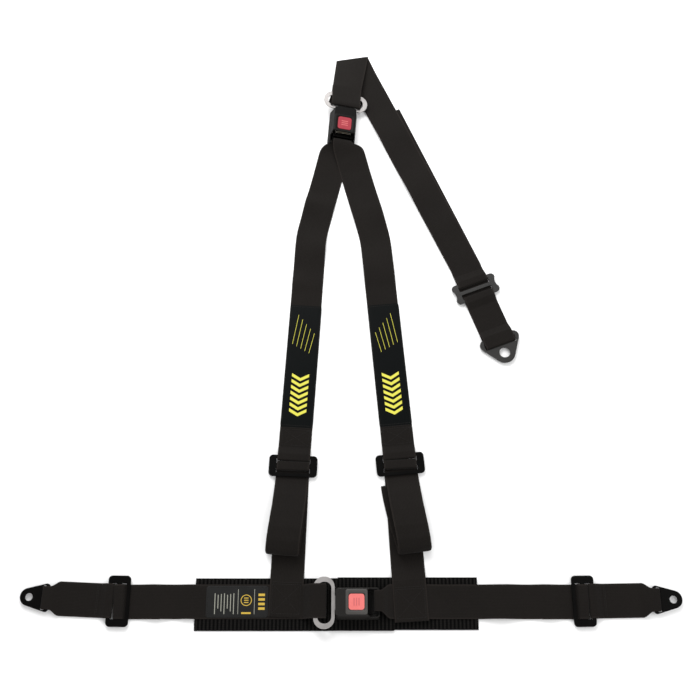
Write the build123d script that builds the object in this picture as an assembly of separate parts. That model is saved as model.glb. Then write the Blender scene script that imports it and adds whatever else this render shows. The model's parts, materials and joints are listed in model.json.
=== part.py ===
from build123d import *
import os

# Three-point racing harness laid out flat, in millimetres, +Z up.
# X runs along the lap belt and +Y points from the lap belt to the rear strap.

# Driving dimensions
webbing_width = 50.0
webbing_thick = 1.2
layer_gap = 0.3
pinched_width = 30.0
pad_width = 76.0
pad_thick = 2.0
label_thick = 0.4

buckle_length = 65.0
buckle_base_width = 47.0
buckle_top_width = 37.0
buckle_height = 22.0
shell_wall = 1.8
shell_split = 9.2
button_size = 23.0
button_x = 31.0
latch_root = (44.0, 7.5)
leaf_thick, leaf_middle = 1.2, 8.6
tongue_low = 10.0
tongue_thick = 2.5
strap_bar_start = 58.0
ring_length = 31.0
ring_width = 75.0

adjuster_width = 74.0
adjuster_length = 33.0
adjuster_thick = 3.0
slot_length = 8.5
slot_middle = 7.25
slot_width = 52.3
bracket_thick = 3.0
lap_bolt_radius = 5.75
rear_bolt_radius = 8.5

# Heights of the webbing's middle and of the plates in a stack lying on the floor
layer_step = webbing_thick + layer_gap
first_mid = webbing_thick / 2
second_mid = first_mid + layer_step
plate_low = 2 * layer_step
over_plate = plate_low + adjuster_thick + layer_gap + webbing_thick / 2
over_bracket = over_plate + 1.2
on_pad = pad_thick + layer_gap + webbing_thick / 2
pads_top = 2 * pad_thick + layer_gap
on_pads = pads_top + layer_gap + webbing_thick / 2
over_bar = tongue_low + tongue_thick + layer_gap + webbing_thick / 2
under_bar = tongue_low - layer_gap - webbing_thick / 2
turn_radius = 1.0

# Where a strap runs down through an adjuster's slots, from the adjuster's middle
bar_leg = 4.6
loop_leg = 10.0
weave_leg = 7.2

# Places on the floor; the origin is the middle of the whole outline
shift_y = 0.75
lap_y = -448.7 + shift_y
lap_adjuster_x = 342.0
lap_adjuster_y = -448.0 + shift_y
lap_adjuster_lean = 0.8
lap_bracket_x = 449.0
lap_anchor_tilt = {-1: 2.6, 1: 1.0}
buckle_mouth = (-23.0, -451.5 + shift_y)
shoulder_adjuster = {-1: (-88.6, -245.0 + shift_y), 1: (75.4, -242.0 + shift_y)}
adjuster_turn = {-1: -2.5, 1: 5.2}
upper_turn = {-1: -3.56, 1: 5.2}
lower_turn = {-1: -2.0, 1: 3.3}
tail_turn = {-1: -4.6, 1: 7.2}
junction_end = {-1: -471.0 + shift_y, 1: -478.0 + shift_y}
shoulder_bend = {-1: (-65.0, 144.8 + shift_y), 1: (40.2, 139.0 + shift_y)}
shoulder_top = {-1: (-36.5, 262.0 + shift_y), 1: (6.6, 262.0 + shift_y)}
shoulder_neck = {-1: (-26.0, 303.0 + shift_y, 9.0), 1: (-5.0, 299.0 + shift_y, 13.5)}
upper_mouth = (-12.6, 373.0 + shift_y)
upper_yaw = -94.5
upper_roll = -12.0
upper_lift = 5.2
fold_ends = ((-25.5, 480.0 + shift_y), (30.0, 489.0 + shift_y))
rear_adjuster = (202.0, 48.5 + shift_y)
rear_turn = 21.0
rear_bracket_run = 96.0
rear_bend = (191.0, 84.0 + shift_y)
diagonal_start = (2.7, 484.0 + shift_y)
tail_bend = (194.0, 83.0 + shift_y)
tail_end = (60.6, 375.0 + shift_y)
fold_height = 5.2


# ---------------------------------------------------------------- shared tools
def save(node, *shapes):
    """Write one node's solids to its own STEP file."""
    solids = [solid for shape in shapes for solid in shape.solids()]
    export_step(solids[0] if len(solids) == 1 else Compound(children=solids), f"parts/{node}.step")


def turned(x, y, angle):
    """Place on the floor with its Y axis turned from +Y by an angle."""
    return Pos(x, y, 0) * Rot(0, 0, angle)


def upper_place():
    """The upper buckle's place, turned and rolled onto its right edge."""
    return Pos(*upper_mouth, upper_lift) * Rot(0, 0, upper_yaw) * Rot(upper_roll, 0, 0)


def ribbon(path, width=webbing_width, radius=turn_radius, thick=webbing_thick):
    """Webbing seen from its edge: path in YZ, width along X."""
    line = FilletPolyline(*[(0, y, z) for y, z in path], radius=radius)
    band = Face(line.wire().offset_2d(thick / 2, side=Side.BOTH, kind=Kind.ARC))
    return extrude(band, amount=width / 2, both=True, dir=(1, 0, 0))


def prism(outline, low, high):
    """Upright solid over a closed outline in XY."""
    face = make_face(Polyline(*outline, close=True))
    return extrude(Pos(0, 0, low) * face, amount=high - low, dir=(0, 0, 1))


def band_outline(start, end, width=webbing_width):
    """Corners of a straight band between two points, width across."""
    along = (Vector(*end) - Vector(*start)).normalized()
    across = along.rotate(Axis.Z, 90) * (width / 2)
    corners = [Vector(*start) + across, Vector(*end) + across, Vector(*end) - across, Vector(*start) - across]
    return [(corner.X, corner.Y) for corner in corners]


def flat_band(points, low, width=webbing_width):
    """Flat webbing along straight runs in XY, with round joints at its bends."""
    solid = None
    for start, end in zip(points, points[1:]):
        run = prism(band_outline(start, end, width), low, low + webbing_thick)
        solid = run if solid is None else solid + run
    for corner in points[1:-1]:
        joint = extrude(Pos(*corner, low) * Circle(width / 2), amount=webbing_thick, dir=(0, 0, 1))
        solid = solid + joint
    return solid


def bridge(*sections):
    """Webbing that twists or narrows from one place's XZ plane to the next."""
    faces = [place * Rot(90, 0, 0) * Rectangle(width, webbing_thick).face() for place, width in sections]
    return loft(faces, ruled=True)


def slab(sizes, centre):
    """Box from its three sizes and its centre."""
    return Pos(*centre) * Box(*sizes)


def spring(radius, wire, height, turns):
    """Helical spring along +Z from the origin."""
    path = Helix(pitch=height / turns, height=height, radius=radius)
    start = Plane(origin=path @ 0, z_dir=path % 0)
    return sweep(start * Circle(wire), path=path)


# ---------------------------------------------------------------- buckles
def housing_block(inset, low, high):
    """Tapered housing; inset shrinks it for the hollow."""
    ends = []
    for z in (low, high):
        width = buckle_base_width + (buckle_top_width - buckle_base_width) * z / buckle_height
        outline = RectangleRounded(buckle_length - 2 * inset, width - 2 * inset, 5.0 - inset)
        ends.append((Pos(buckle_length / 2, 0, z) * outline).face())
    return loft(ends, ruled=True)


def cross_pin(radius, length):
    """Cylinder on the line where the latch leaf is rolled round its cross pin."""
    return Pos(latch_root[0], 0, latch_root[1]) * Rot(90, 0, 0) * Cylinder(radius, length)


def buckle_shells():
    """Base tray and cover of a buckle, with their two screws."""
    hollow = housing_block(shell_wall, shell_wall, buckle_height - shell_wall)
    base = housing_block(0, 0, shell_split) - hollow
    base -= slab((20, 35.5, 20), (buckle_length - 5, 0, 16))
    cover = housing_block(0, shell_split + 0.2, buckle_height) - hollow
    cover -= slab((12, 25, tongue_thick + 1.6), (0, 0, tongue_low + tongue_thick / 2))
    slope = make_face(Polyline((50, 0, 30), (46.5, 0, 22), (52, 0, 8), (80, 0, 8), (80, 0, 30), close=True))
    cover -= extrude(slope, amount=40, both=True, dir=(0, 1, 0))
    cover -= slab((button_size + 1, button_size + 1, 12), (button_x, 0, buckle_height))
    screws = []
    for y in (-16, 16):
        post_top = buckle_height - shell_wall + 0.1
        cover += Pos(8, y, (shell_split + 0.2 + post_top) / 2) * Cylinder(2.6, post_top - shell_split - 0.2)
        base += Pos(8, y, (shell_split + 1) / 2) * Cylinder(2.6, shell_split - 1)
        bore = Pos(8, y, 7) * Cylinder(1.35, 15)
        base -= bore + Pos(8, y, 0.8) * Cylinder(2.35, 1.7)
        cover -= bore
        screws.append(Pos(8, y, 7.5) * Cylinder(1.25, 13) + Pos(8, y, 0.9) * Cylinder(2.2, 1.4))
    return base, cover, screws


def buckle_parts():
    """Push-button buckle: mouth at X = 0, strap bar towards +X, base on Z = 0."""
    base, cover, screws = buckle_shells()
    tongue_mid = tongue_low + tongue_thick / 2
    frame = slab((16, 33, tongue_thick), (54, 0, tongue_mid))
    for y in (-15.75, 15.75):
        frame += slab((40, 1.5, 10), (34, y, 9.5))
    slot_start = strap_bar_start - 5
    frame -= slab((5, 31, 10), (slot_start + 2.5, 0, tongue_mid))
    frame -= cross_pin(1.55, 40)
    latch = slab((23.5, 27, leaf_thick), (29.75, 0, leaf_middle)) + cross_pin(2.4, 27)
    tooth = make_face(Polyline(
        (18.3, 0, leaf_middle), (18.9, 0, 12.2), (21.5, 0, 12.2), (21.5, 0, leaf_middle), close=True))
    latch += extrude(tooth, amount=4, both=True, dir=(0, 1, 0))
    latch -= cross_pin(1.5, 40)
    key = slab((button_size, button_size, 3.2), (button_x, 0, buckle_height - 1.1))
    button = fillet(key.edges().filter_by(Axis.Z), 4.0)
    for y in (-11.9, 11.9):
        button += slab((4, 2.4, 10.4), (28, y, 14.7))
    return {
        "base": [base],
        "cover": [cover],
        "screws": screws,
        "frame": [frame],
        "latch_leaf": [latch],
        "latch_pin": [cross_pin(1.5, 34)],
        "button_spring": [Pos(33, 0, 2.2) * spring(3.0, 0.3, 5.3, 3)],
        "ejector": [slab((5, 18, 2.9), (37.0, 0, tongue_mid))],
        "ejector_spring": [Pos(40.0, 0, tongue_mid) * Rot(0, 90, 0) * spring(0.9, 0.2, 5.6, 5)],
        "button": [button],
    }


def tongue():
    """Tongue plate: blade towards +X into the mouth, D-ring for the webbing towards -X."""
    ring = Pos(-16.5, 0) * RectangleRounded(ring_length, ring_width, 15.0)
    opening = Pos(-15.9, 0) * RectangleRounded(20.4, 60, 9.5)
    blade = Pos(14.5, 0) * RectangleRounded(38, 20, 3)
    shoulder = Pos(-2.2, 0) * Rectangle(3, 43)
    window = Pos(20.2, 0) * Rectangle(7, 11)
    outline = ring - opening + blade + shoulder - window
    return extrude(Pos(0, 0, tongue_low) * outline, amount=tongue_thick, dir=(0, 0, 1))


# ---------------------------------------------------------------- plate hardware
def adjuster(waist=0.0):
    """Three-bar slide in XY: bars along X, the webbing runs along Y."""
    outline = RectangleRounded(adjuster_width, adjuster_length, 6)
    if waist:
        for side in (-1, 1):
            outline -= Pos(side * (adjuster_width / 2 + 14 - waist), 0) * Circle(14)
    for y in (-slot_middle, slot_middle):
        outline -= Pos(0, y) * RectangleRounded(slot_width, slot_length, 1.5)
    return extrude(Pos(0, 0, plate_low) * outline, amount=adjuster_thick, dir=(0, 0, 1))


def bracket(ear_width, ear_radius, tip_radius, reach, hole_radius, slot):
    """Anchor plate: slot bar along X near Y = 0, bolt hole at Y = reach; slot is width, start, end."""
    ears = [Pos(side * (ear_width / 2 - ear_radius), 0) * Circle(ear_radius) for side in (-1, 1)]
    tip = Pos(0, reach) * Circle(tip_radius)
    outline = make_hull([*ears[0].edges(), *ears[1].edges(), *tip.edges()])
    opening_width, opening_start, opening_end = slot
    opening = RectangleRounded(opening_width, opening_end - opening_start, 2)
    outline -= Pos(0, (opening_start + opening_end) / 2) * opening
    outline -= Pos(0, reach) * Circle(hole_radius)
    return extrude(Pos(0, 0, plate_low) * outline, amount=bracket_thick, dir=(0, 0, 1))


# ---------------------------------------------------------------- lap belt
def lap_anchor(side, name):
    """Adjuster, sewn loop and bracket at one end of the lap belt."""
    inward = Pos(side * lap_adjuster_x, lap_adjuster_y, 0) * Rot(0, 0, -90 * side)
    save(f"lap_adjuster_{name}", inward * Rot(0, 0, lap_adjuster_lean * side) * adjuster())
    place = inward * Rot(0, 0, lap_anchor_tilt[side] * side)
    run = lap_bracket_x - lap_adjuster_x
    fold = run + 4.4
    loop = ribbon([
        (62, first_mid), (loop_leg, first_mid), (loop_leg, over_plate), (18.5, over_plate),
        (28, second_mid), (run - 22, second_mid), (run - 9, over_bracket), (fold, over_bracket),
        (fold, first_mid), (66, first_mid)])
    half = webbing_width / 2 + 1
    pinch = 17.0
    outline = [(-half, 0), (half, 0), (half, run - 19), (pinch, run - 8), (pinch, run + 15),
               (-pinch, run + 15), (-pinch, run - 8), (-half, run - 19)]
    save(f"lap_anchor_loop_{name}", place * (loop & prism(outline, -5, 30)))
    plate = bracket(41, 5, 13, 25, lap_bolt_radius, (35.4, 0, 6.5))
    save(f"lap_bracket_{name}", place * Pos(0, run, 0) * plate)


def lap_belt(side, buckle_end):
    """Belt from the adjuster's tail over the pad to the buckle; distances grow outwards."""
    outer = lap_adjuster_x
    path = [
        (outer - 62, first_mid), (outer + bar_leg, first_mid), (outer + bar_leg, over_plate),
        (outer - bar_leg, over_plate), (outer - bar_leg, second_mid), (262, second_mid), (244, on_pad)]
    return Pos(0, lap_y, 0) * Rot(0, 0, -90 * side) * ribbon(path + buckle_end)


def lap_assembly():
    """Both lap belts with their anchors, pads and the approval label."""
    for side, name in ((-1, "left"), (1, "right")):
        lap_anchor(side, name)
    base = pads_top + layer_gap
    over_tongue = base + tongue_low + tongue_thick + layer_gap + webbing_thick / 2
    under_tongue = base + tongue_low - layer_gap - webbing_thick / 2
    ring_fold = 36.5
    save("lap_webbing_left", lap_belt(-1, [
        (67.5, on_pad), (58.5, over_tongue), (ring_fold, over_tongue), (ring_fold, under_tongue),
        (50, under_tongue), (54, under_tongue - 4)]))

    bar_fold = buckle_mouth[0] + strap_bar_start - layer_gap - webbing_thick / 2
    belt = lap_belt(1, [
        (130, on_pad), (116, on_pads), (58, on_pads), (48, over_tongue), (bar_fold, over_tongue),
        (bar_fold, under_tongue), (44, under_tongue)])
    half = webbing_width / 2 + 1
    pinch = pinched_width / 2
    near, far, middle = 42, 59, buckle_mouth[1]
    outline = [(0, middle - pinch), (near, middle - pinch), (far, lap_y - half), (400, lap_y - half),
               (400, lap_y + half), (far, lap_y + half), (near, middle + pinch), (0, middle + pinch)]
    save("lap_webbing_right", belt & prism(outline, -5, 40))

    pad_low, pad_high = pad_thick / 2, pads_top - pad_thick / 2
    left_path = [(-229.5, pad_low), (-34, pad_low), (-25, pad_high), (63, pad_high)]
    left_pad = ribbon(left_path, pad_width, 6, pad_thick)
    save("backing_pad_left", Pos(0, -452.5 + shift_y, 0) * Rot(0, 0, -90) * left_pad)
    save("backing_pad_right", slab((206, pad_width, pad_thick), (83.5, -451.0 + shift_y, pad_thick / 2)))
    label_low = on_pad + webbing_thick / 2 + 0.1
    save("approval_label", slab((91, 46, label_thick), (-167.5, lap_y, label_low + label_thick / 2)))


# ---------------------------------------------------------------- shoulder straps
def shoulder_run(side, start):
    """Upper shoulder strap from its loop to the upper buckle; the right one lies on the left one."""
    bend, top = Vector(*shoulder_bend[side]), Vector(*shoulder_top[side])
    along = (bend - top).normalized()

    def flat_place(point, height):
        across = (along.Y, -along.X, 0)
        return Plane(origin=(point.X, point.Y, height), x_dir=across, z_dir=(0, 0, 1)).location

    bar_side = over_bar if side > 0 else under_bar
    buckle_rear = upper_place() * Pos(buckle_length + 0.5, 0, bar_side) * Rot(0, 0, -90)
    neck = Vector(*shoulder_neck[side])
    neck_place = flat_place(neck, neck.Z) * Rot(0, upper_roll / 2, 0)
    low_end = top + along * 57 if side > 0 else top
    places = [(buckle_rear, pinched_width), (neck_place, webbing_width)]
    if side > 0:
        places.append((flat_place(top, second_mid), webbing_width))
        places.append((flat_place(top + along * 32, second_mid), webbing_width))
    places.append((flat_place(low_end, first_mid), webbing_width))
    flat = flat_band([(start.position.X, start.position.Y), (bend.X, bend.Y), (low_end.X, low_end.Y)], 0)

    bar_leg_x = strap_bar_start - layer_gap - webbing_thick / 2
    level = over_bar if side > 0 else under_bar
    leg_end = tongue_low + tongue_thick / 2 + 0.5 * side
    hook = ribbon([(bar_leg_x, leg_end), (bar_leg_x, level), (buckle_length + 1, level)], pinched_width, 0.8)
    return flat + bridge(*places) + upper_place() * Rot(0, 0, -90) * hook


def shoulder_side(side, name):
    """Adjuster, upper strap, lower strap with its tail, and label of one shoulder."""
    x, y = shoulder_adjuster[side]
    save(f"shoulder_adjuster_{name}", turned(x, y, adjuster_turn[side]) * adjuster())
    upper = turned(x, y, upper_turn[side])
    loop = upper * ribbon([
        (46, first_mid), (loop_leg, first_mid), (loop_leg, over_plate), (18.5, over_plate),
        (30, second_mid), (52, second_mid), (62, first_mid), (84, first_mid)])
    save(f"shoulder_webbing_{name}", loop + shoulder_run(side, upper * Pos(0, 80, 0)))

    lower = turned(x, y, lower_turn[side])
    end = junction_end[side] - y
    top = (on_pad if side < 0 else on_pads) + layer_step
    load = ribbon([
        (-bar_leg, second_mid), (-bar_leg, over_plate), (bar_leg, over_plate), (bar_leg, first_mid),
        (-158, first_mid), (-174, top), (end, top)])
    tail = ribbon([
        (-bar_leg - 0.4, second_mid), (-20, second_mid), (-34, 6.0), (-70, 9.0), (-112, 10.5), (-137, 9.0),
        (-137, second_mid), (-30, second_mid)])
    save(f"shoulder_lower_{name}", lower * load + turned(x, y, tail_turn[side]) * tail)

    label = upper * slab((49.5, 203, label_thick), (0, 164, webbing_thick + 0.1 + label_thick / 2))
    save(f"shoulder_label_{name}", label)


# ---------------------------------------------------------------- rear strap
def rear_assembly():
    """Rear strap with its tail, adjuster and bracket."""
    place = turned(*rear_adjuster, rear_turn)
    save("rear_adjuster", place * adjuster(waist=3.0))
    run = rear_bracket_run
    plate = bracket(66, 9, 17, 21, rear_bolt_radius, (53, -2, 9))
    save("rear_bracket", place * Pos(0, -run, 0) * Rot(0, 0, 180) * plate)
    fold = -run - 7.5
    weave = place * ribbon([
        (38, second_mid), (30, second_mid), (19, over_plate), (weave_leg, over_plate), (weave_leg, second_mid),
        (-weave_leg, second_mid), (-weave_leg, over_plate), (-19, over_plate), (-30, second_mid),
        (-run + 24, second_mid), (-run + 12, over_bracket), (fold, over_bracket), (fold, first_mid),
        (38, first_mid)])
    save("rear_webbing", weave + rear_diagonal() + rear_front())


def rear_diagonal():
    """The strap's long diagonal run and the tail that lies beneath it."""
    corners = band_outline(diagonal_start, rear_bend)
    strap_low = second_mid - webbing_thick / 2
    strap = prism([*fold_ends, corners[1], corners[2]], strap_low, strap_low + webbing_thick)
    tail = prism(band_outline(tail_end, tail_bend), 0, webbing_thick)
    for low, corner in ((strap_low, rear_bend), (0, tail_bend)):
        joint = extrude(Pos(*corner, low) * Circle(webbing_width / 2), amount=webbing_thick, dir=(0, 0, 1))
        strap = strap + joint
    return strap + tail


def rear_front():
    """The front run from the tongue's ring up to the fold over the diagonal run."""
    left, right = Vector(*fold_ends[0]), Vector(*fold_ends[1])
    across = (right - left).normalized()
    along = Vector(-across.Y, across.X)
    top = fold_height + webbing_thick / 2
    edge = [left, right, right - along * 3, left - along * 3]
    fold = prism([(corner.X, corner.Y) for corner in edge], second_mid - webbing_thick / 2, top)
    middle = (left + right) / 2 - along * 2
    fold_place = Plane(origin=(middle.X, middle.Y, fold_height), x_dir=across, z_dir=(0, 0, 1)).location
    ring_place = upper_place() * Pos(-44, 0, over_bar) * Rot(0, 0, 90)
    front = bridge((ring_place, webbing_width), (fold_place, (right - left).length))
    loop = upper_place() * Rot(0, 0, -90) * ribbon([
        (-47, under_bar), (-20.5, under_bar), (-20.5, over_bar), (-44.5, over_bar)])
    return fold + front + loop


def main():
    os.makedirs("parts", exist_ok=True)
    lap_assembly()
    for side, name in ((-1, "left"), (1, "right")):
        shoulder_side(side, name)
    rear_assembly()
    lap_place = Pos(*buckle_mouth, pads_top + layer_gap)
    for name, place in (("lap", lap_place), ("upper", upper_place())):
        for part, solids in buckle_parts().items():
            save(f"{name}_buckle_{part}", *[place * solid for solid in solids])
        save(f"{name}_tongue", place * tongue())


main()
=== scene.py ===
import json
import math
import bmesh
import bpy
from mathutils import Matrix, Vector

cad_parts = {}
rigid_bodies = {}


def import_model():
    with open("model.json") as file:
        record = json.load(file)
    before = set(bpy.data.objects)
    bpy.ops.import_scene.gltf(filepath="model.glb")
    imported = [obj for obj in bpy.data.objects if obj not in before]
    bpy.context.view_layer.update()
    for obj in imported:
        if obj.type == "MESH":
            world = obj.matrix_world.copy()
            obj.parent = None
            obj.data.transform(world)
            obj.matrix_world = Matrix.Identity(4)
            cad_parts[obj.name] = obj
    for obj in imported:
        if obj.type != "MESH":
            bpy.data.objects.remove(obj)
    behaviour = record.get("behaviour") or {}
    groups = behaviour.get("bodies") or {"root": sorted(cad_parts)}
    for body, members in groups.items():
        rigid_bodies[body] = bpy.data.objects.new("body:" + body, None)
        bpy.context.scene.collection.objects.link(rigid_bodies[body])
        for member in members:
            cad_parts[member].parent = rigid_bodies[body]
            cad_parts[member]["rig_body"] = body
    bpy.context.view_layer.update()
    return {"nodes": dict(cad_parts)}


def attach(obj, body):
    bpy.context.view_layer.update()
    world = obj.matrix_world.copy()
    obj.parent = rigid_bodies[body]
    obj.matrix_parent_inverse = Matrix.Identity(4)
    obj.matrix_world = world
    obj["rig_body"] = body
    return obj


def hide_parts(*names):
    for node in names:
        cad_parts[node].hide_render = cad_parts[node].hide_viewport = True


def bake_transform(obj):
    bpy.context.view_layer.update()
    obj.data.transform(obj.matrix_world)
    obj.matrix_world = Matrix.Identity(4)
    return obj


# A three-point racing harness laid out flat. Lengths are millimetres, as in the CAD part,
# and become metres only when a mesh is made.
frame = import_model()
nodes = frame["nodes"]
mm = 0.001

# Webbing, pads and layer heights (the middle of each layer)
webbing_width, webbing_thick = 50.0, 1.2
pad_width, pad_thick = 76.0, 2.0
first, second = 0.6, 2.1
over_plate, over_bracket = 6.9, 8.1
on_pad, on_pads = 2.9, 5.2
# Where webbing turns up or down beside the bars, measured from the middle of an adjuster
bar_leg, loop_leg, weave_leg = 6.7, 8.3, 8.6

# Lap belt
lap_y = -447.95
lap_adjuster_x, lap_adjuster_y = 342.0, -447.25
bracket_run = 107.0
anchor_tilt = {-1: 2.6, 1: 1.0}
lap_buckle_mouth = (-23.0, -450.75, 4.6)

# Shoulder straps, -1 is the left one and 1 the right one
adjuster_at = {-1: (-88.6, -244.25), 1: (75.4, -241.25)}
upper_turn = {-1: -3.56, 1: 5.2}
lower_turn = {-1: -2.0, 1: 3.3}
tail_turn = {-1: -4.6, 1: 7.2}
junction_end = {-1: -470.25, 1: -477.25}
shoulder_bend = {-1: (-65.0, 145.55), 1: (40.2, 139.75)}
shoulder_top = {-1: (-36.5, 262.75), 1: (6.6, 262.75)}
side_name = {-1: "left", 1: "right"}
tail_lean, tail_bulge = {-1: -4.0, 1: 12.0}, 3.0
# Necks gathering into the upper buckle: share turned towards the buckle, width, middle
shoulder_neck = {
    -1: ((0.0, 50, (-34.1, 272.5, 2.1)), (0.0, 50, (-29.0, 293.0, 5.2)), (0.2, 50, (-26.6, 300.5, 8.2)),
         (0.6, 43, (-20.5, 307.5, 11.6))),
    1: ((0.0, 50, (3.9, 272.5, 4.8)), (0.0, 50, (-1.6, 293.0, 9.4)), (0.2, 50, (-4.4, 300.5, 12.8)),
        (0.6, 42, (-9.8, 307.5, 16.2)))}
neck_levels = {
    -1: ((62, 9.4, 34), (57.2, 9.1, 29), (56.6, 10.9, 29)),
    1: ((62, 13.7, 32), (57.2, 13.4, 29), (56.6, 11.9, 29))}

# Upper buckle, standing on its edge, and the rear strap
upper_mouth = (-12.6, 373.75, 5.2)
upper_yaw, upper_roll = -94.5, -12.0
fold_left, fold_right = Vector((-25.5, 480.75, 0)), Vector((30.0, 489.75, 0))
fold_height = 5.2
rear_adjuster_at, rear_turn = (202.0, 49.25), 21.0
diagonal_start = (2.7, 484.75)
tail_end, tail_bend = (60.6, 375.75), (189.6, 84.2)
rear_fold = 103.5


# ---------------------------------------------------------------- tools
def spot(x, y, degrees=0.0, z=0.0):
    """Place on the floor with its Y axis turned from +Y."""
    return Matrix.Translation((x, y, z)) @ Matrix.Rotation(math.radians(degrees), 4, "Z")


def smooth(value, low, high):
    """0 below low, 1 above high, eased between."""
    share = min(max((value - low) / (high - low), 0.0), 1.0)
    return share * share * (3 - 2 * share)


def rounded(points, radius):
    """Open polyline with its corners rounded; every corner may turn by up to a half circle."""
    corners = [Vector(point) for point in points]
    line = [corners[0]]
    for before, corner, after in zip(corners, corners[1:], corners[2:]):
        back, ahead = (before - corner), (after - corner)
        turn = math.pi - back.angle(ahead)
        if turn < 0.01:
            line.append(corner)
            continue
        reach = min(radius * math.tan(turn / 2), back.length * 0.48, ahead.length * 0.48)
        start, end = corner + back.normalized() * reach, corner + ahead.normalized() * reach
        steps = max(3, int(turn / 0.22))
        for step in range(steps + 1):
            share = step / steps
            line.append(start * (1 - share) ** 2 + corner * 2 * share * (1 - share) + end * share ** 2)
    return line + [corners[-1]]


def divided(line, step):
    """The same line with points no further apart than step."""
    result = [line[0]]
    for start, end in zip(line, line[1:]):
        parts = max(1, int(math.ceil((end - start).length / step)))
        result += [start.lerp(end, part / parts) for part in range(1, parts + 1)]
    kept = result[:1]
    kept += [point for last, point in zip(result, result[1:]) if (point - last).length > 1e-4]
    return kept


def folded(place, path, width=webbing_width, radius=2.2, step=4.0):
    """Webbing seen from its edge, path in (along, height); gives stations of (middle, half width)."""
    line = divided(rounded([(0, along, height) for along, height in path], radius), step)
    half = place.to_3x3() @ Vector((width / 2, 0, 0))
    return [(place @ point, half.copy()) for point in line]


def flat(points, height, radius=140.0):
    """Webbing lying flat along a route in XY, with easy bends in its own plane."""
    line = divided(rounded([(x, y, height) for x, y in points], radius), 5.0)
    stations = []
    for index, point in enumerate(line):
        run = line[min(index + 1, len(line) - 1)] - line[max(index - 1, 0)]
        stations.append((point, Vector((run.y, -run.x, 0)).normalized() * webbing_width / 2))
    return stations


def between(start, end, step=4.0):
    """Stations from one to the next, in a straight line, without the first."""
    parts = max(2, int((end[0] - start[0]).length / step))
    shares = [part / parts for part in range(1, parts + 1)]
    return [(start[0].lerp(end[0], share), start[1].lerp(end[1], share)) for share in shares]


def eased(stations, rounds=2):
    """Stations averaged with their neighbours, so a run through single places has no kinks."""
    for _ in range(rounds):
        inner = [
            ((a[0] + b[0] * 2 + c[0]) / 4, (a[1] + b[1] * 2 + c[1]) / 4)
            for a, b, c in zip(stations, stations[1:], stations[2:])]
        stations = [stations[0]] + inner + [stations[-1]]
    return stations


def rippled(stations, axis, low, high, rise, length):
    """Lifts webbing off the floor in soft waves.

    low and high are distances along X on either side, or places in Y.
    """
    lifted, travelled, last = [], 0.0, stations[0][0]
    for middle, half in stations:
        travelled += (middle - last).length
        last = middle
        at = abs(middle.x) if axis == "X" else middle.y
        window = smooth(at, low, low + 30) * (1 - smooth(at, high - 30, high))
        wave = rise * window * (0.5 - 0.5 * math.cos(2 * math.pi * travelled / length))
        lean = 0.45 * wave * math.sin(2 * math.pi * travelled / (length * 1.7) + 1.0)
        lifted.append((middle + Vector((0, 0, wave)), half + Vector((0, 0, lean))))
    return lifted


def linked(name, mesh, materials):
    """New object from a mesh, in the scene."""
    piece = bpy.data.objects.new(name, mesh)
    bpy.context.scene.collection.objects.link(piece)
    for material in materials:
        mesh.materials.append(material)
    return piece


def solid_mesh(name, bm, smooth_angle=40.0):
    """Finished mesh from a bmesh in millimetres."""
    bmesh.ops.recalc_face_normals(bm, faces=bm.faces)
    bmesh.ops.scale(bm, vec=(mm, mm, mm), verts=bm.verts)
    mesh = bpy.data.meshes.new(name)
    bm.to_mesh(mesh)
    bm.free()
    mesh.shade_smooth()
    mesh.set_sharp_from_angle(angle=math.radians(smooth_angle))
    return mesh


def crossing(stations, index):
    """Direction of travel at a station."""
    start, end = stations[max(index - 1, 0)][0], stations[min(index + 1, len(stations) - 1)][0]
    return (end - start).normalized()


def edge_share(columns):
    """Places across the width from -1 to 1, closer together near the selvedges."""
    return [math.sin(math.pi / 2 * (2 * column / columns - 1)) for column in range(columns + 1)]


def strap(name, stations, material, thick=webbing_thick, columns=12, crown=None,
          start_v=0.0):
    """Woven strap through stations, with thin rounded selvedges; its UV is metres across and along."""
    bm = bmesh.new()
    layer = bm.loops.layers.uv.new("weave")
    across = edge_share(columns)
    rings, lengths, travelled = [], [], start_v
    for index, (middle, half) in enumerate(stations):
        if index:
            travelled += (middle - stations[index - 1][0]).length
        normal = half.cross(crossing(stations, index)).normalized()
        thickness = thick if crown is None else crown(travelled)
        ring = []
        for face in (1, -1):
            order = across if face > 0 else list(reversed(across))[1:-1]
            for share in order:
                depth = thickness / 2 * (1 - abs(share) ** 14)
                ring.append((bm.verts.new(middle + half * share + normal * depth * face), share))
        rings.append(ring)
        lengths.append(travelled)
    count = len(rings[0])
    half_metres = stations[0][1].length * mm
    for row in range(len(rings) - 1):
        for side in range(count):
            other = (side + 1) % count
            corners = [(row, side), (row, other), (row + 1, other), (row + 1, side)]
            face = bm.faces.new([rings[r][s][0] for r, s in corners])
            for loop, (r, s) in zip(face.loops, corners):
                loop[layer].uv = (rings[r][s][1] * half_metres, lengths[r] * mm)
    for ring, length in ((rings[0], lengths[0]), (rings[-1], lengths[-1])):
        cap = bm.faces.new([vert for vert, share in ring])
        for loop, (vert, share) in zip(cap.loops, ring):
            loop[layer].uv = (share * half_metres, length * mm)
    piece = linked(name, solid_mesh(name, bm, 60), [material])
    return piece


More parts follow.
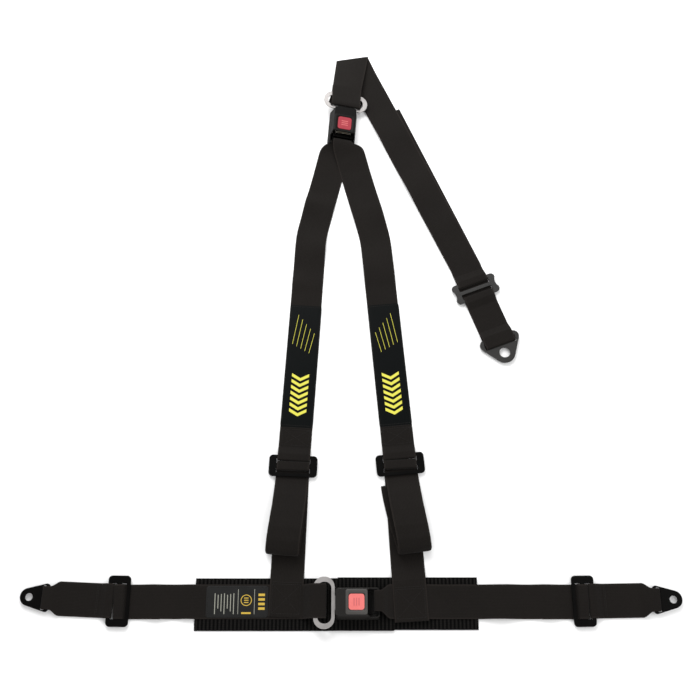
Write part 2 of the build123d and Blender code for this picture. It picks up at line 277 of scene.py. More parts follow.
def thread_row(bm, points, pitch=3.2, stitch=2.5, gauge=0.34):
    """Adds a line of short sewn stitches along a polyline on a surface."""
    line = divided([Vector(point) for point in points], 1000)
    for start, end in zip(line, line[1:]):
        run = end - start
        along = run.normalized()
        side = along.cross(Vector((0, 0, 1))).normalized() * gauge
        count = max(1, int(run.length / pitch))
        for index in range(count):
            middle = start + run * ((index + 0.5) / count)
            rings = []
            for share, size in ((-0.5, 0.35), (-0.32, 1.0), (0.32, 1.0), (0.5, 0.35)):
                centre = middle + along * stitch * share + Vector((0, 0, 0.18 * size))
                lift = Vector((0, 0, gauge * size * 0.8))
                offsets = (side * size, lift, -side * size, -lift)
                rings.append([bm.verts.new(centre + offset) for offset in offsets])
            for low, high in zip(rings, rings[1:]):
                for corner in range(4):
                    other = (corner + 1) % 4
                    bm.faces.new((low[corner], low[other], high[other], high[corner]))
            bm.faces.new(rings[0])
            bm.faces.new(list(reversed(rings[-1])))


def stitches(name, rows, material):
    """One object holding several rows of stitches."""
    bm = bmesh.new()
    for row in rows:
        thread_row(bm, row)
    piece = linked(name, solid_mesh(name, bm, 60), [material])
    return piece


def border(place, half_across, half_along, height):
    """Rows just inside the four edges of a label."""
    rows = [[place @ Vector((-half_across, end, height)), place @ Vector((half_across, end, height))]
            for end in (-half_along, half_along)]
    rows += [[place @ Vector((end, -half_along, height)), place @ Vector((end, half_along, height))]
             for end in (-half_across, half_across)]
    return rows


def box_cross(place, half_across, low, high, height):
    """Rows of a sewn box with a cross in it."""
    corners = [(-half_across, low), (half_across, low), (half_across, high), (-half_across, high)]
    ring = [place @ Vector((x, y, height)) for x, y in corners]
    return [ring + [ring[0]], [ring[0], ring[2]], [ring[1], ring[3]]]


def printed(name, shapes, material, depth=0.12):
    """Thin raised print: closed outlines in millimetres, each a list of 3-D points on the surface."""
    bm = bmesh.new()
    for shape in shapes:
        base = [bm.verts.new(point) for point in shape]
        face = bm.faces.new(base)
        face.normal_update()
        up = face.normal.copy() if face.normal.z > 0 else -face.normal
        grown = bmesh.ops.extrude_face_region(bm, geom=[face])
        moved = [item for item in grown["geom"] if isinstance(item, bmesh.types.BMVert)]
        bmesh.ops.translate(bm, vec=up * depth, verts=moved)
    piece = linked(name, solid_mesh(name, bm, 30), [material])
    return piece


def refined(node, material, bevel=0.6, segments=3, sharp=35.0):
    """A CAD node's own shape with its hard edges rounded over; it stands for that node."""
    bm = bmesh.new()
    bm.from_mesh(nodes[node].data)
    bmesh.ops.remove_doubles(bm, verts=bm.verts, dist=1e-6)
    bmesh.ops.dissolve_limit(bm, angle_limit=math.radians(0.6), verts=bm.verts, edges=bm.edges)
    mesh = bpy.data.meshes.new(node + "_body")
    bm.to_mesh(mesh)
    bm.free()
    piece = linked(node + "_body", mesh, [material])
    rounding = piece.modifiers.new("rounding", "BEVEL")
    rounding.width, rounding.segments = bevel * mm, segments
    rounding.limit_method, rounding.angle_limit = "ANGLE", math.radians(sharp)
    rounding.use_clamp_overlap, rounding.harden_normals = True, False
    mesh.shade_smooth()
    even = piece.modifiers.new("normals", "WEIGHTED_NORMAL")
    even.keep_sharp = True
    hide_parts(node)
    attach(piece, nodes[node]["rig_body"])
    return piece


# ---------------------------------------------------------------- materials
class Finish:
    """A material under construction: its nodes are added by short calls."""

    def __init__(self, name, rough=0.6, metal=0.0, shine=0.5):
        self.material = bpy.data.materials.new(name)
        self.material.use_nodes = True
        self.tree = self.material.node_tree
        self.surface = self.tree.nodes["Principled BSDF"]
        self.set(self.surface, {"Roughness": rough, "Metallic": metal, "Specular IOR Level": shine})

    def set(self, item, values):
        for key, value in values.items():
            socket = item.inputs[key]
            if isinstance(value, bpy.types.NodeSocket):
                self.tree.links.new(value, socket)
            else:
                socket.default_value = value
        return item

    def add(self, kind, output=0, settings=None, **values):
        item = self.tree.nodes.new(kind)
        for key, value in (settings or {}).items():
            setattr(item, key, value)
        self.set(item, {int(key[1:]) if key[0] == "i" and key[1:].isdigit() else key: value
                        for key, value in values.items()})
        return item.outputs[output]

    def math(self, operation, a, b=0.0, clamp=False):
        settings = {"operation": operation, "use_clamp": clamp}
        return self.add("ShaderNodeMath", settings=settings, i0=a, i1=b)

    def noise(self, scale, detail=3.0, rough=0.55, vector=None):
        values = {"Scale": scale, "Detail": detail, "Roughness": rough}
        item = self.tree.nodes.new("ShaderNodeTexNoise")
        self.set(item, values)
        self.tree.links.new(vector or self.place(), item.inputs["Vector"])
        return item.outputs["Fac"]

    def place(self):
        return self.add("ShaderNodeTexCoord", 3)

    def mix(self, factor, a, b):
        item = self.tree.nodes.new("ShaderNodeMix")
        item.data_type = "RGBA"
        for socket, value in ((item.inputs[6], a), (item.inputs[7], b)):
            if isinstance(value, bpy.types.NodeSocket):
                self.tree.links.new(value, socket)
            else:
                socket.default_value = (*value, 1)
        self.tree.links.new(factor, item.inputs[0])
        return item.outputs[2]

    def spread(self, value, low, high, to_low=0.0, to_high=1.0):
        values = {"Value": value, "From Min": low, "From Max": high, "To Min": to_low, "To Max": to_high}
        item = self.tree.nodes.new("ShaderNodeMapRange")
        return self.set(item, values).outputs[0]

    def bump(self, height, strength, distance):
        item = self.tree.nodes.new("ShaderNodeBump")
        self.set(item, {"Height": height, "Strength": strength, "Distance": distance})
        self.tree.links.new(item.outputs[0], self.surface.inputs["Normal"])

    def surface_set(self, **values):
        names = {"colour": "Base Color", "rough": "Roughness"}
        self.set(self.surface, {names[key]: value for key, value in values.items()})
        return self


def weave_height(finish, rib_pitch, pick_pitch):
    """Herringbone webbing from the strap's own UV: rows of ribs along it, slanted picks across."""
    uv = finish.add("ShaderNodeUVMap", settings={"uv_map": "weave"})
    split = finish.tree.nodes.new("ShaderNodeSeparateXYZ")
    finish.tree.links.new(uv, split.inputs[0])
    across, along = split.outputs[0], split.outputs[1]
    columns = finish.math("DIVIDE", across, rib_pitch)
    rib = finish.math("ABSOLUTE", finish.math("SINE", finish.math("MULTIPLY", columns, math.pi)))
    zigzag = finish.math("PINGPONG", columns, 1.0)
    slanted = finish.math("ADD", finish.math("DIVIDE", along, pick_pitch), zigzag)
    pick = finish.math("SINE", finish.math("MULTIPLY", slanted, 2 * math.pi))
    height = finish.math("ADD", finish.math("MULTIPLY", rib, 0.55), finish.math("MULTIPLY", pick, 0.3))
    return height, across, along


def webbing_finish(name, dark, light, edge):
    """Polyester belt webbing: herringbone relief, firm selvedges, fuzz and slow colour drift."""
    finish = Finish(name, rough=0.8, shine=0.10)
    height, across, along = weave_height(finish, 0.0021, 0.0016)
    drift = finish.noise(9.0, 4.0)
    fuzz = finish.noise(900.0, 2.0)
    tone = finish.math("ADD", finish.math("MULTIPLY", drift, 0.5), finish.math("MULTIPLY", height, 0.45))
    tone = finish.math("ADD", tone, finish.math("MULTIPLY", fuzz, 0.25), clamp=True)
    body = finish.mix(tone, dark, light)
    selvedge = finish.spread(finish.math("ABSOLUTE", across), 0.0222, 0.0243)
    ticks = finish.math("SINE", finish.math("MULTIPLY", along, 2 * math.pi / 0.0024))
    selvedge = finish.math("MULTIPLY", selvedge, finish.spread(ticks, -1.0, 1.0, 0.45, 0.9))
    finish.surface_set(
        colour=finish.mix(selvedge, body, edge),
        rough=finish.spread(fuzz, 0.3, 0.7, 0.7, 0.92))
    finish.set(finish.surface, {"Sheen Weight": 0.04, "Sheen Roughness": 0.5})
    finish.bump(finish.math("ADD", height, finish.math("MULTIPLY", fuzz, 0.25)), 0.55, 0.0005)
    return finish.material


def pad_finish():
    """Heavy ribbed pad webbing, deeper black than the belts, with painted highlights on the rib crests and
    painted shade in the valleys between them.
    """
    finish = Finish("ribbed_pad_webbing", rough=0.85, shine=0.05)
    height, _, along = weave_height(finish, 0.0028, 0.0019)
    fuzz = finish.noise(700.0, 3.0)
    # Painted highlight and shade: the colour is lit along each rib crest and goes black in the valleys
    # between the ribs.
    rib = finish.math("ABSOLUTE", finish.math("SINE", finish.math("MULTIPLY", along, math.pi / 0.0057)))
    painted_rib_highlight = finish.math("POWER", rib, 2.2)
    woven = finish.math("ADD", finish.math("MULTIPLY", height, 0.3), fuzz)
    tone = finish.math("MULTIPLY", painted_rib_highlight, woven, clamp=True)
    finish.surface_set(colour=finish.mix(tone, (0.0002, 0.0002, 0.0002), (0.0145, 0.0135, 0.0125)))
    finish.bump(height, 0.6, 0.0006)
    return finish.material


def two_tones(finish, first_tone, first_share, second_tone, second_share):
    """Weighted sum of two textures, kept between 0 and 1."""
    first = finish.math("MULTIPLY", first_tone, first_share)
    second = finish.math("MULTIPLY", second_tone, second_share)
    return finish.math("ADD", first, second, clamp=True)


def satin_finish():
    """Woven satin of the shoulder sleeves: smooth, dark blue-black, with long soft sheen streaks."""
    finish = Finish("satin_label", rough=0.55, shine=0.05)
    uv = finish.add("ShaderNodeUVMap", settings={"uv_map": "weave"})
    stretched = finish.tree.nodes.new("ShaderNodeMapping")
    finish.tree.links.new(uv, stretched.inputs["Vector"])
    stretched.inputs["Scale"].default_value = (1400.0, 60.0, 1.0)
    threads = finish.noise(1.0, 3.0, 0.6, stretched.outputs[0])
    drift = finish.noise(26.0, 3.0)
    tone = two_tones(finish, threads, 0.5, drift, 0.4)
    finish.surface_set(colour=finish.mix(tone, (0.0003, 0.0006, 0.0007), (0.0019, 0.003, 0.0031)),
                       rough=finish.spread(threads, 0.3, 0.7, 0.36, 0.55))
    finish.set(finish.surface, {"Sheen Weight": 0.02, "Sheen Roughness": 0.35})
    finish.bump(threads, 0.3, 0.0003)
    return finish.material


def plain_finish(name, dark, light, rough, metal=0.0, shine=0.5, grain=500.0, relief=0.12):
    """Even surface with fine grain and a slow change of tone."""
    finish = Finish(name, shine=shine, metal=metal)
    fine, slow = finish.noise(grain, 3.0), finish.noise(40.0, 4.0)
    tone = two_tones(finish, fine, 0.4, slow, 0.6)
    finish.surface_set(
        colour=finish.mix(tone, dark, light),
        rough=finish.spread(slow, 0.3, 0.7, rough[0], rough[1]))
    finish.bump(fine, relief, 0.0003)
    return finish.material


def brushed_finish(name, dark, light, rough):
    """Satin metal with fine scratches along X and small dull patches."""
    finish = Finish(name, metal=1.0)
    stretched = finish.tree.nodes.new("ShaderNodeMapping")
    finish.tree.links.new(finish.place(), stretched.inputs["Vector"])
    stretched.inputs["Scale"].default_value = (60.0, 1500.0, 1500.0)
    scratch = finish.noise(1.0, 4.0, 0.6, stretched.outputs[0])
    patch = finish.noise(70.0, 4.0)
    tone = two_tones(finish, scratch, 0.5, patch, 0.5)
    finish.surface_set(
        colour=finish.mix(tone, dark, light),
        rough=finish.spread(patch, 0.3, 0.7, rough[0], rough[1]))
    finish.bump(scratch, 0.12, 0.0002)
    return finish.material


# Name, dark tone, light tone, then the selvedge's tone for webbing or the roughness from and to
webbing = webbing_finish(
    "belt_webbing", (0.0018, 0.0014, 0.0011), (0.0108, 0.0086, 0.0072), (0.016, 0.0128, 0.011))
ribbed = pad_finish()
satin = satin_finish()
glossy_label = plain_finish(
    "label_film", (0.002, 0.002, 0.002), (0.007, 0.007, 0.007), (0.22, 0.34), shine=0.3, grain=220.0)
yellow = plain_finish(
    "yellow_print", (0.50, 0.47, 0.04), (0.66, 0.62, 0.08), (0.5, 0.65), shine=0.3, grain=900.0)
gold = plain_finish(
    "gold_print", (0.42, 0.28, 0.03), (0.58, 0.40, 0.06), (0.35, 0.5), shine=0.3, grain=900.0)
silver_print = plain_finish(
    "pale_print", (0.20, 0.20, 0.17), (0.34, 0.34, 0.28), (0.35, 0.5), grain=900.0)
thread = plain_finish(
    "sewing_thread", (0.006, 0.0053, 0.005), (0.021, 0.019, 0.0175), (0.55, 0.75), shine=0.15, grain=1500.0)
black_steel = plain_finish(
    "coated_steel", (0.0005, 0.0005, 0.0005), (0.002, 0.0018, 0.0016), (0.32, 0.46), shine=0.05, grain=380.0)
grey_steel = plain_finish(
    "dark_plated_steel", (0.007, 0.0065, 0.006), (0.022, 0.021, 0.02), (0.34, 0.48),
    metal=0.1, shine=0.3, grain=420.0)
tongue_steel = brushed_finish("satin_steel", (0.30, 0.285, 0.28), (0.46, 0.44, 0.43), (0.34, 0.46))
plated_steel = brushed_finish("zinc_plated_steel", (0.42, 0.41, 0.36), (0.66, 0.64, 0.56), (0.25, 0.4))
housing = plain_finish(
    "housing_plastic", (0.005, 0.0045, 0.004), (0.016, 0.0142, 0.013), (0.48, 0.6),
    shine=0.15, grain=620.0, relief=0.22)
# Painted shade: the upper buckle's housing and bezel are darker copies of the lap buckle's plastics,
# standing in for the shade the upper buckle lies in.
shaded_upper_housing = plain_finish(
    "shaded_upper_housing_plastic", (0.0012, 0.0011, 0.001), (0.0045, 0.004, 0.0036), (0.5, 0.62),
    shine=0.08, grain=620.0, relief=0.22)
bezel_plastic = plain_finish(
    "bezel_plastic", (0.035, 0.032, 0.03), (0.066, 0.062, 0.058), (0.4, 0.52), shine=0.25, grain=620.0)
shaded_upper_bezel = plain_finish(
    "shaded_upper_bezel_plastic", (0.002, 0.0018, 0.0016), (0.007, 0.0062, 0.0056), (0.45, 0.58),
    shine=0.1, grain=620.0)
lap_red = plain_finish(
    "lap_button_plastic", (0.60, 0.115, 0.11), (0.74, 0.18, 0.165), (0.36, 0.46), grain=500.0)
# Painted shade: the upper button is a darker copy of the lap button's red, standing in for the shade on the
# upper buckle.
shaded_upper_red = plain_finish(
    "shaded_upper_button_plastic", (0.23, 0.022, 0.034), (0.32, 0.04, 0.052), (0.4, 0.52), shine=0.15, grain=500.0)
mark_red = plain_finish("button_mark", (0.42, 0.075, 0.08), (0.52, 0.11, 0.11), (0.4, 0.5), grain=500.0)
ejector_plastic = plain_finish(
    "ejector_plastic", (0.35, 0.32, 0.26), (0.5, 0.46, 0.38), (0.4, 0.55), grain=500.0)


# ---------------------------------------------------------------- lap belt
def lap_place(side):
    return spot(0, lap_y, -90 * side)


def world(place, x, y, z=0.0):
    return place @ Vector((x, y, z))


def lap_belt(side, end_path, narrow=None):
    """Lap belt from its hidden tail, through the adjuster, over the pad and into its buckle end."""
    outer = lap_adjuster_x
    start = [
        (outer - 62, first), (outer + bar_leg, first),
        (outer + bar_leg, over_plate), (outer - bar_leg, over_plate),
        (outer - bar_leg - 2.5, second + 0.4), (outer - 24, second), (262, second), (240, on_pad)]
    stations = folded(lap_place(side), start + end_path)
    if narrow:
        stations = [(middle, half * narrow(side * middle.x)) for middle, half in stations]
    on_top = len(stations) // 4
    low, high = (216, 314) if side < 0 else (150, 314)
    stations = stations[:on_top] + rippled(stations[on_top:], "X", low, high, 3.6, 74)
    name = f"lap_belt_{side_name[side]}"
    piece = strap(name, stations, webbing)
    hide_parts(f"lap_webbing_{side_name[side]}")
    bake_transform(piece)


def lap_anchor(side):
    """Sewn loop between the adjuster's outer bar and the bracket."""
    place = spot(side * lap_adjuster_x, lap_adjuster_y, -90 * side + anchor_tilt[side] * side)
    fold = bracket_run + 5.2
    path = [
        (62, first), (loop_leg, first), (loop_leg, over_plate), (18.5, over_plate),
        (28, second), (bracket_run - 22, second),
        (bracket_run - 9, over_bracket), (fold, over_bracket), (fold, first), (66, first)]
    stations = folded(place, path, step=3.0)
    inverse = place.inverted()
    shaped = []
    for middle, half in stations:
        along = (inverse @ middle).y
        shaped.append((middle, half * (1 - 0.33 * smooth(along, bracket_run - 20, bracket_run - 6))))
    name = side_name[side]
    piece = strap(f"lap_anchor_webbing_{name}", shaped, webbing)
    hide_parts(f"lap_anchor_loop_{name}")
    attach(piece, f"lap_anchor_{name}")
    top = second + webbing_thick / 2
    rows = [[world(place, -22, y, top), world(place, 22, y, top)] for y in (31.0, 33.0)]
    sewn = stitches(f"lap_anchor_stitching_{name}", rows, thread)
    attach(sewn, f"lap_anchor_{name}")


lap_belt(-1, [(78, on_pad), (70, 5.0), (60, 15.0), (55, 18.1),
              (36.5, 18.1), (36.5, 13.6), (47, 13.2), (58, 9.0)])
lap_belt(1, [(130, on_pad), (116, on_pads), (62, on_pads), (54, 10.0), (47, 17.4), (42, 18.0),
             (34.1, 18.0), (34.1, 13.7), (41, 13.7)],
         narrow=lambda x: 1 - 0.4 * (1 - smooth(x, 42, 58)))
for side in (-1, 1):
    lap_anchor(side)


# ---------------------------------------------------------------- shoulder straps
def upper_buckle_place():
    yaw = Matrix.Rotation(math.radians(upper_yaw), 4, "Z")
    roll = Matrix.Rotation(math.radians(upper_roll), 4, "X")
    return Matrix.Translation(upper_mouth) @ yaw @ roll


buckle_place = upper_buckle_place()


def buckle_station(x, height, width):
    """Webbing in the upper buckle, x from its mouth towards the straps."""
    return world(buckle_place, x, 0, height), buckle_place.to_3x3() @ Vector((0, -width / 2, 0))


def shoulder_upper(side):
    """From the loop round the adjuster's top bar, along the chest and neck, into the upper buckle."""
    x, y = adjuster_at[side]
    place = spot(x, y, upper_turn[side])
    loop = folded(place, [
        (46, first), (loop_leg, first), (loop_leg, over_plate), (18.5, over_plate),
        (30, second), (54, second), (64, first), (80, first)])
    start = world(place, 0, 80)
    bend, top = Vector((*shoulder_bend[side], 0)), Vector((*shoulder_top[side], 0))
    back = (bend - top).normalized()
    rise = 62 if side > 0 else 8
    low = top + back * rise
    run = flat([start[:2], bend[:2], low[:2]], first, radius=190)
    run = rippled(run, "Y", 40, 228, 4.0, 92 + 9 * side)
    ends = [run[-1]]
    if side > 0:
        ends.append((top + back * 34 + Vector((0, 0, second)), run[-1][1]))
        ends.append((top + Vector((0, 0, second + 0.8)), run[-1][1]))
    across = run[-1][1].normalized()
    for share, width, middle in shoulder_neck[side]:
        turned = across.lerp(-buckle_station(0, 0, 2)[1], share).normalized()
        ends.append((Vector(middle), turned * width / 2))
    for distance, height, width in neck_levels[side]:
        middle, half = buckle_station(distance, height, width)
        ends.append((middle, -half))
    climb = [ends[0]]
    for end in ends[1:]:
        climb += between(climb[-1], end, 3.0)
    stations = loop[:-1] + run + eased(climb, 6)[1:]
    name = side_name[side]
    piece = strap(f"shoulder_strap_{name}", stations, webbing)
    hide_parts(f"shoulder_webbing_{name}")
    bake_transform(piece)
    height = second + webbing_thick / 2
    rows = box_cross(place, 20.5, 33, 58, height)
    rows.append([world(place, -20.5, 61.5, height), world(place, 20.5, 61.5, height)])
    sewn = stitches(f"shoulder_stitching_{name}", rows, thread)
    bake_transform(sewn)


def shoulder_lower(side):
    """From the belt junction up through the adjuster, with its tail folded back over it."""
    x, y = adjuster_at[side]
    name = side_name[side]
    place = spot(x, y, lower_turn[side])
    on_belt = (on_pad if side < 0 else on_pads) + 1.5
    end = junction_end[side] - y
    middle = -88.0
    low = folded(place, [(middle, first), (-155, first), (-176, on_belt), (end, on_belt)])
    high = folded(place, [
        (-bar_leg, 2.4), (-bar_leg, over_plate), (bar_leg, over_plate), (bar_leg, first), (middle, first)])
    travelled = sum((b[0] - a[0]).length for a, b in zip(high, high[1:]))
    lower = strap(f"shoulder_lower_strap_{name}", low, webbing, start_v=travelled)
    upper = strap(f"shoulder_adjuster_strap_{name}", high, webbing)
    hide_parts(f"shoulder_lower_{name}")
    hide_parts(f"shoulder_lower_{name}")
    if side < 0:
        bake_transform(lower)
    else:
        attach(lower, "root")
    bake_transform(upper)
    tail_place = spot(x, y, tail_turn[side])
    tail = folded(tail_place, [
        (-bar_leg - 0.4, 2.4), (-18, second), (-27, 3.8), (-46, 11.5), (-72, 19.5), (-98, 24.5),
        (-118, 24.5), (-132, 19.0), (-138, 11.5), (-134.5, 5.0), (-122, 2.6), (-104, second),
        (-30, second)], radius=14.0, step=3.0)
    sideways = tail_place.to_3x3() @ Vector((1, 0, 0))
    apex = min(range(len(tail)), key=lambda index: (tail_place.inverted() @ tail[index][0]).y)
    shaped = []
    for index, (middle, half) in enumerate(tail):
        past = (index - apex) / (len(tail) - 1 - apex)
        if past < 0:
            bulge = side * tail_bulge * smooth(index / apex, 0.35, 0.95)
        else:
            bulge = side * tail_bulge - tail_lean[side] * smooth(past, 0.0, 1.0)
        narrowing = 1 - 0.09 * (1 - smooth(abs(index - apex), 0.0, 5.0))
        shaped.append((middle + sideways * bulge, half * narrowing))
    piece = strap(f"shoulder_tail_{name}", shaped, webbing)
    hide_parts(f"shoulder_lower_{name}")
    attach(piece, f"shoulder_slide_{name}")
    low_edge, high_edge = end + 4.5, end + 47.0
    rows = box_cross(place, 21, low_edge, high_edge, on_belt + webbing_thick / 2)
    rows.append([world(place, x, high_edge + 3, on_belt + webbing_thick / 2) for x in (-21, 21)])
    sewn = stitches(f"junction_stitching_{name}", rows, thread)
    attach(sewn, "lap_left" if side < 0 else "root")


for side in (-1, 1):
    shoulder_upper(side)
    shoulder_lower(side)


# ---------------------------------------------------------------- rear strap
def rear_strap():
    """Ring loop, front run, oblique fold, long diagonal run, tail beneath and the adjuster's weave."""
    ring = [buckle_station(*level) for level in (
        (-47, 9.2, 50), (-34, 8.4, 50), (-24, 6.2, 53), (-15, 4.4, 57), (-10.6, 5.2, 56), (-9.0, 8.0, 55),
        (-8.4, 12.6, 53), (-5.2, 14.8, 51), (-5.6, 16.8, 50), (-12, 17.2, 50), (-22, 15.8, 50),
        (-34, 14.4, 50), (-44, 13.4, 50))]
    loop = [ring[0]]
    for end in ring[1:]:
        loop += between(loop[-1], end, 1.5)
    loop = [(middle, -half) for middle, half in eased(loop, 3)]
    across = (fold_right - fold_left).normalized()
    out = Vector((-across.y, across.x, 0))
    middle = (fold_left + fold_right) / 2
    fold_half = -across * (fold_right - fold_left).length / 2
    run_start = loop[-1]
    set_back = 2.4
    fold_top = (middle - out * set_back + Vector((0, 0, fold_height)), -fold_half)
    front = between(run_start, fold_top, 4.0)
    turn, steps, bow = [], 8, 1.6
    for step in range(1, steps + 1):
        angle = math.pi * step / steps
        reach = out * (math.sin(angle) * bow - set_back)
        height = (fold_height + second) / 2 + math.cos(angle) * (fold_height - second) / 2
        turn.append((middle + reach + Vector((0, 0, height)), -fold_half))
    place = spot(*rear_adjuster_at, rear_turn)
    weave = folded(place, [
        (44, second), (31, second), (19, over_plate), (weave_leg, over_plate), (weave_leg, second),
        (0, second)], step=2.5)
    start = Vector((*diagonal_start, second))
    along = (weave[0][0] - start).normalized()
    side = Vector((-along.y, along.x, 0)) * webbing_width / 2
    leave, approach = (start + along * 42, side), (weave[0][0] - along * 70, side)
    diagonal = between(turn[-1], leave, 4.0) + between(leave, approach, 6.0)
    diagonal += between(approach, weave[0], 5.0)
    diagonal = rippled(diagonal, "Y", 140, 420, 3.4, 105)
    upper = loop + front + turn + eased(diagonal, 6)[:-1] + weave
    piece = strap("rear_strap_webbing", upper, webbing)
    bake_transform(piece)
    lower = folded(place, [
        (0, second), (-weave_leg, second), (-weave_leg, over_plate), (-19, over_plate), (-30, second),
        (-72, second), (-84, over_bracket), (-rear_fold, over_bracket), (-rear_fold, first), (38, first)],
        step=2.5)
    end_piece = strap("rear_strap_end", lower, webbing)
    tail = flat([tail_end, tail_bend], first)
    tail_piece = strap("rear_strap_tail", tail, webbing)
    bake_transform(end_piece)
    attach(tail_piece, "rear_strap")
    for item in (piece, end_piece, tail_piece):
        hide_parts("rear_webbing")


rear_strap()


# ---------------------------------------------------------------- pads and labels
def ribs(pitch, low, high):
    """Pad thickness along its length: rounded ribs running across it."""
    return lambda along: low + (high - low) * abs(math.sin(math.pi * along / pitch)) ** 0.6


def pad(name, node, body, path, middle_y):
    """Ribbed pad webbing along a path, seen from its edge."""
    place = spot(0, middle_y, -90)
    stations = folded(place, path, width=pad_width, radius=8.0, step=0.72)
    piece = strap(name, stations, ribbed, thick=pad_thick, columns=14,
                  crown=ribs(5.7, 1.15, pad_thick))
    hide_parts(node)
    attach(piece, body)


pad("backing_pad_left_cover", "backing_pad_left", "lap_left",
    [(-229.5, 1.0), (-36, 1.0), (-25, 3.35), (63, 3.35)], -451.75)
pad("backing_pad_right_cover", "backing_pad_right", "root", [(-19.5, 1.0), (186.5, 1.0)], -450.25)


def label_sheet(name, node, body, place, width, length, height, thick, material, corner=2.0):
    """Thin label with rounded corners."""
    step = 3.0
    rows = int(length / step)
    stations = []
    for row in range(rows + 1):
        y = -length / 2 + length * row / rows
        inset = max(0.0, corner - (length / 2 - abs(y)))
        cut = corner - math.sqrt(max(corner ** 2 - inset ** 2, 0))
        half = place.to_3x3() @ Vector((width / 2 - cut, 0, 0))
        stations.append((place @ Vector((0, y, height)), half))
    piece = strap(name, stations, material, thick=thick)
    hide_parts(node)
    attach(piece, body)


def outline_bar(place, x, y, width, length, lean, height):
    """Corners of one bar of a print; lean slides its far end sideways."""
    corners = [(x - width / 2, y - length / 2), (x + width / 2, y - length / 2),
               (x + width / 2 + lean, y + length / 2), (x - width / 2 + lean, y + length / 2)]
    return [place @ Vector((a, b, height)) for a, b in corners]


def ring_shapes(place, x, y, outer, inner, height, parts=28):
    """A ring as short closed pieces."""
    shapes = []
    for part in range(parts):
        angles = [2 * math.pi * (part + share) / parts for share in (0, 1)]
        corners = ((inner, angles[0]), (outer, angles[0]), (outer, angles[1]), (inner, angles[1]))
        shapes.append([place @ Vector((x + radius * math.cos(angle), y + radius * math.sin(angle), height))
                       for radius, angle in corners])
    return shapes


def shoulder_label(side):
    """Satin sleeve over the chest strap, with a generic print: fanned lines above, chevrons below."""
    x, y = adjuster_at[side]
    name = side_name[side]
    place = spot(x, y, upper_turn[side]) @ Matrix.Translation((0, 164, 0))
    low, thick = 1.3, 0.5
    label_sheet(f"shoulder_sleeve_{name}", f"shoulder_label_{name}", "root", place, 50.6, 203,
                low + thick / 2, thick, satin, 1.0)
    top = low + thick
    shapes = []
    for line in range(5):
        shapes.append(outline_bar(
            place, side * (17 - 6.8 * line), 60 - 5.5 * line, 0.6, 50 - 4 * line, -6.5 * side, top))
    for row in range(7):
        for half in (-1, 1):
            tip, wing, rise, thickness = -84 + 9.6 * row, half * 13.5, 7.5, 5.1
            corners = [(0, tip), (wing, tip + rise), (wing, tip + rise + thickness), (0, tip + thickness)]
            shapes.append([place @ Vector((a, b, top)) for a, b in corners])
    piece = printed(f"shoulder_sleeve_print_{name}", shapes, yellow)
    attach(piece, "root")
    rows = border(place, 23.5, 99.0, top + 0.02)
    sewn = stitches(f"shoulder_sleeve_stitching_{name}", rows, thread)
    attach(sewn, "root")


for side in (-1, 1):
    shoulder_label(side)


def approval_tag():
    """Film label on the left lap belt, with generic bars and a ring in place of its printing."""
    place = spot(-167.5, lap_y, 90)
    low, thick = 3.6, 0.45
    label_sheet("approval_tag", "approval_label", "lap_left", place, 46, 91,
                low + thick / 2, thick, glossy_label, 2.5)
    top = low + thick
    shapes = [outline_bar(place, 0, -1.5, 36, 0.7, 0, top), outline_bar(place, 0, -25.5, 36, 0.7, 0, top)]
    for line in range(7):
        shapes.append(outline_bar(
            place, -3 + (line % 3) * 1.5, 5.0 + 4.6 * line, 30 - 5 * (line % 3), 1.1, 0, top))
    pale = printed("approval_tag_lines", shapes, silver_print)
    shapes = ring_shapes(place, 2, -13.5, 8.2, 7.1, top)
    shapes += [outline_bar(place, 2 + 3.2 * step, -13.5, 1.3, 6.5, 0, top) for step in (-1, 0, 1)]
    shapes += [outline_bar(place, -16.5, -13.5, 2.6, 14, 0, top)]
    for row in range(4):
        shapes.append(outline_bar(place, -10 + 6.6 * row, -36, 3.6, 9.5, 0, top))
    bright = printed("approval_tag_marks", shapes, gold)
    rows = border(place, 21, 43.5, top + 0.02)
    sewn = stitches("approval_tag_stitching", rows, thread)
    for piece in (pale, bright, sewn):
        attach(piece, "lap_left")


approval_tag()


# ---------------------------------------------------------------- buckles and plates
for name in ("shoulder_adjuster_left", "shoulder_adjuster_right", "lap_adjuster_left", "lap_adjuster_right"):
    refined(name, black_steel, bevel=1.1, segments=4)
for name in ("lap_bracket_left", "lap_bracket_right"):
    refined(name, black_steel, bevel=0.7)
refined("rear_adjuster", grey_steel, bevel=1.1, segments=4)
refined("rear_bracket", grey_steel, bevel=0.7)
for name in ("lap_tongue", "upper_tongue"):
    refined(name, tongue_steel, bevel=0.75, segments=4)


button_middle, button_top = 31.0, 22.5


def rounded_outline(length, width, corner, parts=7):
    """Corners of a rectangle with round corners, as (x, y)."""
    points = []
    for quarter, (sx, sy) in enumerate(((1, 1), (-1, 1), (-1, -1), (1, -1))):
        for part in range(parts + 1):
            angle = math.pi / 2 * (quarter + part / parts)
            points.append((sx * (length / 2 - corner) + corner * math.cos(angle),
                           sy * (width / 2 - corner) + corner * math.sin(angle)))
    return points


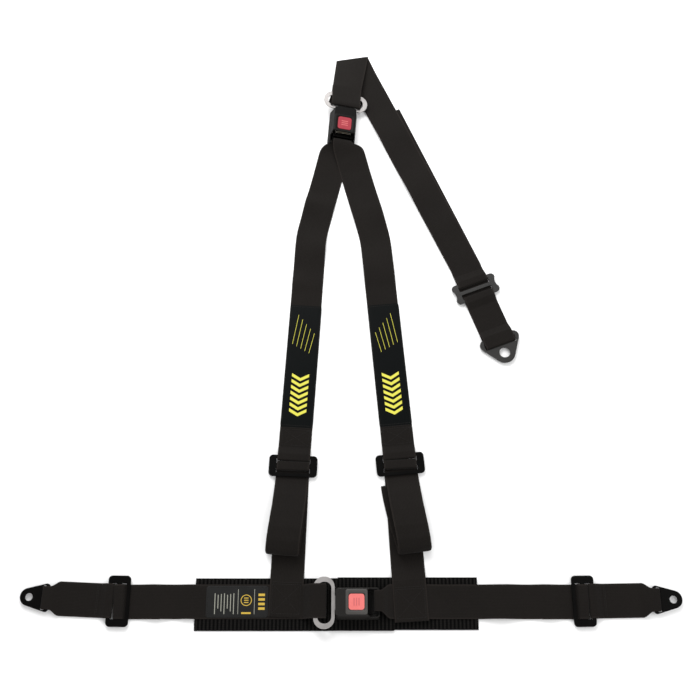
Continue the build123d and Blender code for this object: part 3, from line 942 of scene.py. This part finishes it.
def bezel(name, place, body, finish):
    """Raised panel around the button opening, with softened edges."""
    profile = ((24.7, 24.7, 4.0, 20.8), (24.7, 24.7, 4.0, 22.3), (25.4, 25.4, 4.3, 22.55),
               (31.0, 35.2, 2.6, 22.55), (31.8, 36.2, 3.0, 22.3), (31.8, 36.2, 3.0, 21.7))
    bm = bmesh.new()
    rings = []
    for length, width, corner, height in profile:
        ring = rounded_outline(length, width, corner)
        rings.append([bm.verts.new(place @ Vector((button_middle + x, y, height))) for x, y in ring])
    count = len(rings[0])
    for low, high in zip(rings, rings[1:] + rings[:1]):
        for corner in range(count):
            other = (corner + 1) % count
            bm.faces.new((low[corner], low[other], high[other], high[corner]))
    piece = linked(name, solid_mesh(name, bm, 40), [finish])
    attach(piece, body)


def button_marks(name, place, body):
    """Generic raised grip marks on the button: three short bars."""
    shapes = []
    for step in (-1, 0, 1):
        shapes.append(outline_bar(place, button_middle + step * 3.6, 0, 1.4, 11, 0, button_top))
    piece = printed(name, shapes, mark_red, depth=0.15)
    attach(piece, body)


lap_buckle_place = Matrix.Translation(lap_buckle_mouth)
# The upper buckle takes the darker copies, which paint shade into its housing, bezel and button.
for label, place, red in (("lap", lap_buckle_place, lap_red), ("upper", buckle_place, shaded_upper_red)):
    shell, panel = (housing, bezel_plastic) if label == "lap" else (shaded_upper_housing, shaded_upper_bezel)
    refined(f"{label}_buckle_cover", shell, bevel=1.3, segments=4, sharp=30)
    refined(f"{label}_buckle_base", shell, bevel=0.6)
    refined(f"{label}_buckle_button", red, bevel=1.0, segments=4)
    bezel(f"{label}_buckle_bezel", place, "root", panel)
    button_marks(f"{label}_button_marks", place, f"{label}_button")
    for inner, material in (
            ("frame", black_steel), ("latch_leaf", plated_steel), ("latch_pin", plated_steel),
            ("button_spring", plated_steel), ("ejector_spring", plated_steel), ("screws", black_steel),
            ("ejector", ejector_plastic)):
        mesh = nodes[f"{label}_buckle_{inner}"].data
        mesh.materials.clear()
        mesh.materials.append(material)


# ---------------------------------------------------------------- floor, light and camera
def floor():
    """Plain pale sheet under the harness."""
    mesh = bpy.data.meshes.new("floor")
    bm = bmesh.new()
    bmesh.ops.create_grid(bm, x_segments=2, y_segments=2, size=6.0)
    bmesh.ops.translate(bm, vec=(0, 0, -0.0004), verts=bm.verts)
    bm.to_mesh(mesh)
    bm.free()
    finish = Finish("floor_paper", rough=0.9, shine=0.1)
    finish.surface_set(colour=finish.mix(finish.noise(3.0), (0.90, 0.90, 0.90), (0.93, 0.93, 0.93)))
    linked("floor", mesh, [finish.material])


def softbox(name, place, aim, size, power):
    """Large square studio light aimed at a point."""
    light = bpy.data.lights.new(name, "AREA")
    light.shape, light.size, light.energy = "SQUARE", size, power
    lamp = bpy.data.objects.new(name, light)
    bpy.context.scene.collection.objects.link(lamp)
    lamp.location = place
    lamp.rotation_euler = (Vector(aim) - Vector(place)).to_track_quat("-Z", "Y").to_euler()


def camera():
    """Standing over the lap belt, looking down at the middle of the layout."""
    aim = Vector((-0.0015, -0.05415, 0))
    distance, elevation = 1.77, math.radians(70.5)
    lens = bpy.data.cameras.new("camera")
    lens.lens, lens.sensor_width = 57.2, 36.0
    eye = bpy.data.objects.new("camera", lens)
    bpy.context.scene.collection.objects.link(eye)
    eye.location = aim + Vector((0, -math.cos(elevation), math.sin(elevation))) * distance
    eye.rotation_euler = (aim - eye.location).to_track_quat("-Z", "Y").to_euler()
    bpy.context.scene.camera = eye


floor()
softbox("key_light", (-0.35, 1.2, 1.25), (0.0, 0.22, 0), 1.3, 35)
softbox("fill_light", (1.9, -0.5, 2.1), (0, 0, 0), 1.8, 22)
softbox("front_light", (0.0, -2.4, 1.3), (0, -0.1, 0), 1.6, 12)
world_light = bpy.data.worlds.new("studio")
world_light.use_nodes = True
world_light.node_tree.nodes["Background"].inputs[0].default_value = (1.0, 1.0, 1.0, 1)
world_light.node_tree.nodes["Background"].inputs[1].default_value = 0.68
bpy.context.scene.world = world_light
bpy.context.scene.view_settings.view_transform = "Standard"
camera()
